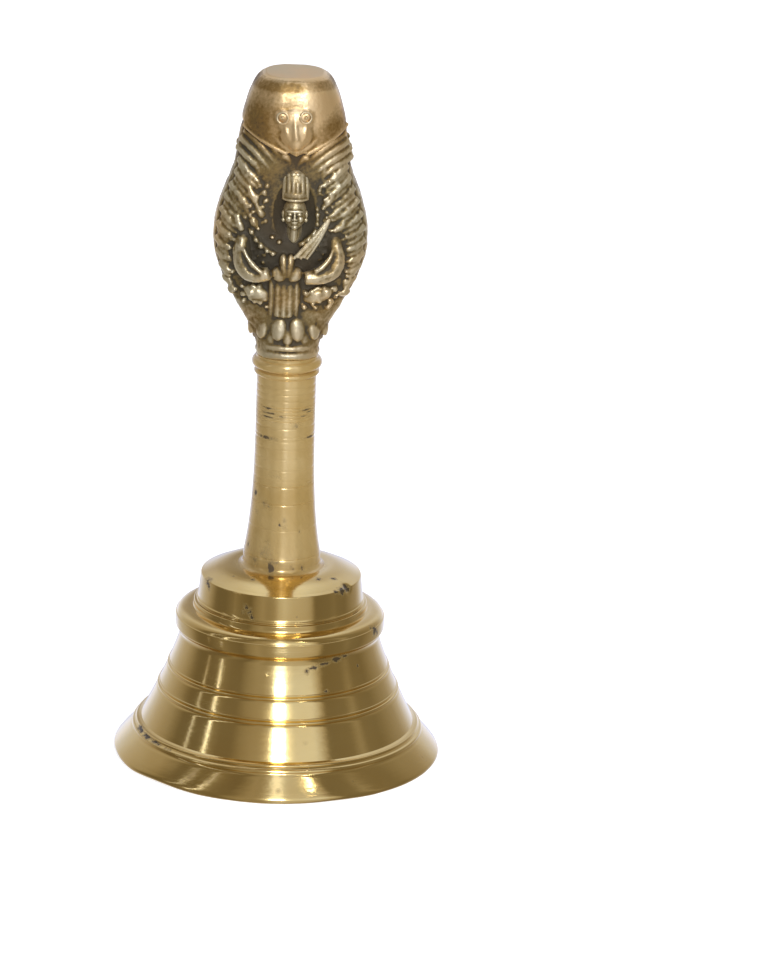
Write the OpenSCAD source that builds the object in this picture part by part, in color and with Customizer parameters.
// Brass hand bell: a turned bell and grip, a cast winged finial, and a clapper on a swivelling eye.
// Millimetres. +Z up, +Y to the back, origin at the centre of the mouth, on the plane the rim rests on.

/* [Bell] */
// Diameter across the lip at the mouth
mouth_d = 72; // [70:0.5:74]
// Height of the sharp outer edge of the shoulder
shoulder_z = 41.4; // [41.2:0.1:42]
// Wall thickness of the skirt
wall = 2.6; // [2.2:0.1:2.8]
// Diameter of the rolled ring below the drum
ring_d = 46.1; // [45.6:0.1:47]

/* [Handle] */
// Diameter of the grip along its straight part
grip_d = 13; // [12:0.1:15]
// Height of the top of the grip, where the finial seats
grip_top_z = 92; // [90:0.5:94]
// Height of the top of the finial
total_h = 155.2; // [153:0.2:160]
// Width across the wings of the finial
wing_w = 33.6; // [32:0.2:36]

/* [Clapper] */
// Diameter of the clapper ball
ball_d = 13; // [11:0.5:13]
// Height of the centre of the clapper ball
ball_z = 8.2; // [8:0.1:9]
// Wire radius of the swivelling eye
eye_wire_r = 0.85; // [0.7:0.05:0.9]
// Wire radius of the loop at the top of the clapper rod
loop_wire_r = 0.75; // [0.6:0.05:0.8]

/* [Hidden] */
$fn = 96;

// Finishes
BRASS = [0.80, 0.65, 0.34];
ANTIQUE = [0.52, 0.44, 0.27];
RAW = [0.62, 0.52, 0.32];
STEEL = [0.62, 0.62, 0.60];

// Skirt: a smooth flare from the neck under the ring down to the lip
mouth_r = mouth_d / 2;
neck_z = 28;
neck_r = 21.8;
flare_w = mouth_r - 2 - neck_r;
flare_power = 1.27;
function skirt_r(z) = neck_r + flare_w * pow(1 - z / neck_z, flare_power);

// Lip: a wide cone that stands proud of the skirt, with a rounded bottom edge and a flat rim
lip_edge_r = 0.8;
lip_top_z = 5.6;
lip_top_r = mouth_r - 4;
rim_in_r = mouth_r - 4.2;

// Turned beads on the skirt, in pairs: [height, bead radius, how far its centre is from the skirt]
beads = [[6.1, 0.6, 0.8], [7.3, 0.45, 0.35], [15.2, 0.42, -0.1], [16.3, 0.3, -0.1],
         [20.1, 0.38, -0.1], [21.1, 0.28, -0.1]];

// Inside: parallel to the skirt, then an elliptical vault up to a flat ceiling
vault_z = 26;
vault_flat_r = 8;
ceiling_z = 40.6;
vault_h = ceiling_z - vault_z;
vault_w = skirt_r(vault_z) - wall - vault_flat_r;

// Ring with a domed top, step, and drum with a softly domed shoulder
ring_r = ring_d / 2;
ring_low_z = 28.9;
ring_edge_z = 32.1;
ring_top_z = 33.6;
step_r = 19.1;
step_z = [33.9, 35];
drum_low_r = 18.3;
drum_low_z = 35.5;
shoulder_r = 17.6;
seat_r = 10.4;
seat_z = 43.5;

// Grip: tapers from a filleted foot to a straight upper part, and ends in a beaded collar
grip_r = grip_d / 2;
foot_flare = 2.3;
taper_l = 40;
taper_power = 3.2;
fillet_r = 1.6;
collar_r = 1.4;
function grip_at(z) = grip_r + foot_flare * pow(max(0, 1 - (z - seat_z) / taper_l), taper_power);

// Fasteners
stud_r = 2.95;
stud_bore_r = 3;
stud_hole_r = 3.2;
stud_z = [36.6, 61];
pin_r = 2.45;
pin_bore_r = 2.5;
pin_z = [84, 100];
end_gap = 0.5;
washer_h = 0.8;
washer_r = 6.4;
nut_flats = 10;
nut_h = 5.8;
nut_top_z = ceiling_z - washer_h;
nut_z = nut_top_z - nut_h;
nut_floor = 1.3;
nut_chamfer = 0.6;

// Swivelling eye: its shank runs in the floor of the nut and its head is trapped above it
shank_r = 1.1;
shank_bore_r = 1.15;
head_r = 2.5;
head_h = 0.9;
head_gap = 0.06;
head_z = nut_z + nut_floor + head_gap;
eye_r = 2.2;
eye_drop = 0.2;
eye_z = nut_z - eye_drop - eye_r - eye_wire_r;
pivot_z = eye_z - eye_r;

// Clapper: a wire loop through the eye, a rod, and a ball held by a riveted washer
loop_r = 2.2;
loop_gap = 0.15;
loop_z = pivot_z + eye_wire_r + loop_gap + loop_wire_r - loop_r;
rod_r = 1.1;
rod_bore_r = 1.15;
ball_flat_z = ball_z - ball_d / 2 + 0.5;
small_washer_r = 2.2;
small_washer_h = 0.5;
small_washer_z = ball_flat_z - small_washer_h;
rivet_r = 1.7;
rivet_h = 0.7;

// Finial sections: [height as a share of the finial, half width as a share of wing_w, half depth]
finial_h = total_h - grip_top_z;
finial_sections = [
    [0.00, 0.215, 7.0], [0.06, 0.225, 6.6], [0.18, 0.355, 6.6], [0.27, 0.430, 6.8], [0.34, 0.480, 6.9],
    [0.40, 0.500, 7.0], [0.47, 0.490, 7.1], [0.55, 0.455, 7.2], [0.62, 0.420, 7.5], [0.70, 0.380, 8.2],
    [0.78, 0.358, 8.8], [0.84, 0.335, 8.8], [0.90, 0.300, 8.6], [0.95, 0.268, 8.2], [0.985, 0.240, 7.7],
    [1.00, 0.220, 7.3]];
section_sides = 36;
section_power = 0.85;

// Points of a round corner or an arc, from angle a0 to a1 in n steps
function arc(c, r, a0, a1, n) =
    [for (i = [0:n]) c + r * [cos(a0 + (a1 - a0) * i / n), sin(a0 + (a1 - a0) * i / n)]];

// One closed ring of a finial section; the power squares the ellipse a little at its sides
function signed_pow(v, p) = sign(v) * pow(abs(v), p);
function section(s) =
    [for (i = [0:section_sides - 1])
        let (a = 360 * i / section_sides)
        [s[1] * wing_w * signed_pow(cos(a), section_power),
         s[2] * signed_pow(sin(a), section_power),
         grip_top_z + s[0] * finial_h]];

function lip_outline() = concat(
    [[rim_in_r, 0]],
    arc([mouth_r - lip_edge_r, lip_edge_r], lip_edge_r, -90, 20, 5),
    [[lip_top_r, lip_top_z]]);

function ring_outline() = concat(
    [[neck_r + 0.1, neck_z - 0.4], [neck_r + 0.55, neck_z + 0.2], [ring_r - 0.6, ring_low_z - 0.3]],
    arc([ring_r - 0.7, ring_low_z + 0.7], 0.7, -60, 0, 3),
    [[ring_r - 0.05, ring_edge_z]],
    [for (i = [0:4]) let (a = 20 + 70 * i / 4)
        [step_r + 0.4 + (ring_r - step_r - 0.6) * cos(a), ring_edge_z + (ring_top_z - ring_edge_z) * sin(a)]]);

function drum_outline() = concat(
    [[step_r, step_z[0]]],
    arc([step_r - 0.35, step_z[1]], 0.35, 0, 90, 3),
    [[drum_low_r, drum_low_z], [shoulder_r, shoulder_z - 0.2], [shoulder_r - 0.15, shoulder_z]],
    [for (i = [1:6]) let (t = i / 6)
        [shoulder_r - 0.15 + (seat_r - shoulder_r + 0.15) * t,
         shoulder_z + (seat_z - shoulder_z) * sin(90 * t)]]);

function inner_outline() = concat(
    [[stud_hole_r, seat_z], [stud_hole_r, ceiling_z], [vault_flat_r, ceiling_z]],
    [for (i = [1:8])
        [vault_flat_r + vault_w * sin(i * 90 / 8), vault_z + vault_h * cos(i * 90 / 8)]],
    [for (z = [vault_z - 2:-2:2]) [skirt_r(z) - wall, z]]);

module bell_body() color(BRASS) {
    rotate_extrude() polygon(concat(
        lip_outline(),
        [for (z = [lip_top_z + 1:1.6:neck_z - 1.2]) [skirt_r(z), z]],
        ring_outline(), drum_outline(), inner_outline()));
    for (b = beads)
        rotate_extrude() translate([skirt_r(b[0]) + b[2], b[0]]) circle(b[1], $fn = 24);
}

module grip() color(BRASS) difference() {
    rotate_extrude() polygon(concat(
        [[0, seat_z], [grip_at(seat_z) + fillet_r * 0.9, seat_z]],
        arc([grip_at(seat_z + fillet_r) + fillet_r, seat_z + fillet_r], fillet_r, 255, 180, 5),
        [for (z = [seat_z + fillet_r + 1:2.2:grip_top_z - 4.4]) [grip_at(z), z]],
        arc([grip_r, grip_top_z - 2.4], collar_r, -80, 80, 6),
        [[grip_r + 0.3, grip_top_z], [0, grip_top_z]]));
    translate([0, 0, seat_z - 1]) cylinder(h = stud_z[1] + end_gap - seat_z + 1, r = stud_bore_r);
    translate([0, 0, pin_z[0] - end_gap]) cylinder(h = grip_top_z - pin_z[0] + 1, r = pin_bore_r);
}

module finial() color(ANTIQUE) difference() {
    polyhedron(
        points = [for (s = finial_sections) each section(s)],
        faces = concat(
            [[for (i = [0:section_sides - 1]) i]],
            [for (k = [0:len(finial_sections) - 2], i = [0:section_sides - 1])
                let (j = (i + 1) % section_sides, a = k * section_sides, b = a + section_sides)
                each [[a + i, b + j, a + j], [a + i, b + i, b + j]]],
            [[for (i = [section_sides - 1:-1:0]) (len(finial_sections) - 1) * section_sides + i]]));
    translate([0, 0, grip_top_z - 1]) cylinder(h = pin_z[1] + end_gap - grip_top_z + 1, r = pin_bore_r);
}

module finial_stud() color(STEEL)
    translate([0, 0, pin_z[0]]) cylinder(h = pin_z[1] - pin_z[0], r = pin_r);

module handle_stud() color(STEEL)
    translate([0, 0, stud_z[0]]) cylinder(h = stud_z[1] - stud_z[0], r = stud_r);

module crown_washer() color(STEEL) translate([0, 0, nut_top_z]) difference() {
    cylinder(h = washer_h, r = washer_r);
    translate([0, 0, -1]) cylinder(h = washer_h + 2, r = stud_hole_r);
}

module hanger_nut() color(RAW) difference() {
    intersection() {
        translate([0, 0, nut_z]) cylinder(h = nut_h, d = nut_flats / cos(30), $fn = 6);
        translate([0, 0, nut_z]) rotate_extrude() polygon([
            [0, 0], [nut_flats / 2, 0], [nut_flats / 2 + 1, nut_chamfer], [nut_flats / 2 + 1, nut_h], [0, nut_h]]);
    }
    translate([0, 0, nut_z + nut_floor]) cylinder(h = nut_h, r = stud_bore_r);
    translate([0, 0, nut_z - 1]) cylinder(h = nut_h, r = shank_bore_r);
}

module hanger_eye() color(STEEL) {
    translate([0, 0, eye_z]) rotate([90, 0, 0]) rotate_extrude()
        translate([eye_r, 0]) circle(eye_wire_r, $fn = 24);
    translate([0, 0, eye_z + eye_r]) cylinder(h = head_z + head_h / 2 - eye_z - eye_r, r = shank_r);
    translate([0, 0, head_z]) cylinder(h = head_h, r = head_r);
}

module clapper_rod() color(RAW) {
    translate([0, 0, loop_z]) rotate([0, 90, 0]) rotate_extrude()
        translate([loop_r, 0]) circle(loop_wire_r, $fn = 24);
    translate([0, 0, small_washer_z - rivet_h / 2])
        cylinder(h = loop_z - loop_r - small_washer_z + rivet_h / 2, r = rod_r);
    translate([0, 0, small_washer_z - rivet_h]) cylinder(h = rivet_h, r = rivet_r);
}

module clapper_ball() color(BRASS) difference() {
    translate([0, 0, ball_z]) sphere(d = ball_d);
    translate([0, 0, ball_z - ball_d]) cylinder(h = 2 * ball_d, r = rod_bore_r);
    translate([0, 0, ball_flat_z - ball_d]) cylinder(h = ball_d, r = ball_d);
}

module clapper_washer() color(STEEL) translate([0, 0, small_washer_z]) difference() {
    cylinder(h = small_washer_h, r = small_washer_r);
    translate([0, 0, -1]) cylinder(h = small_washer_h + 2, r = rod_bore_r);
}

bell_body();
grip();
finial();
finial_stud();
handle_stud();
crown_washer();
hanger_nut();
hanger_eye();
clapper_rod();
clapper_ball();
clapper_washer();
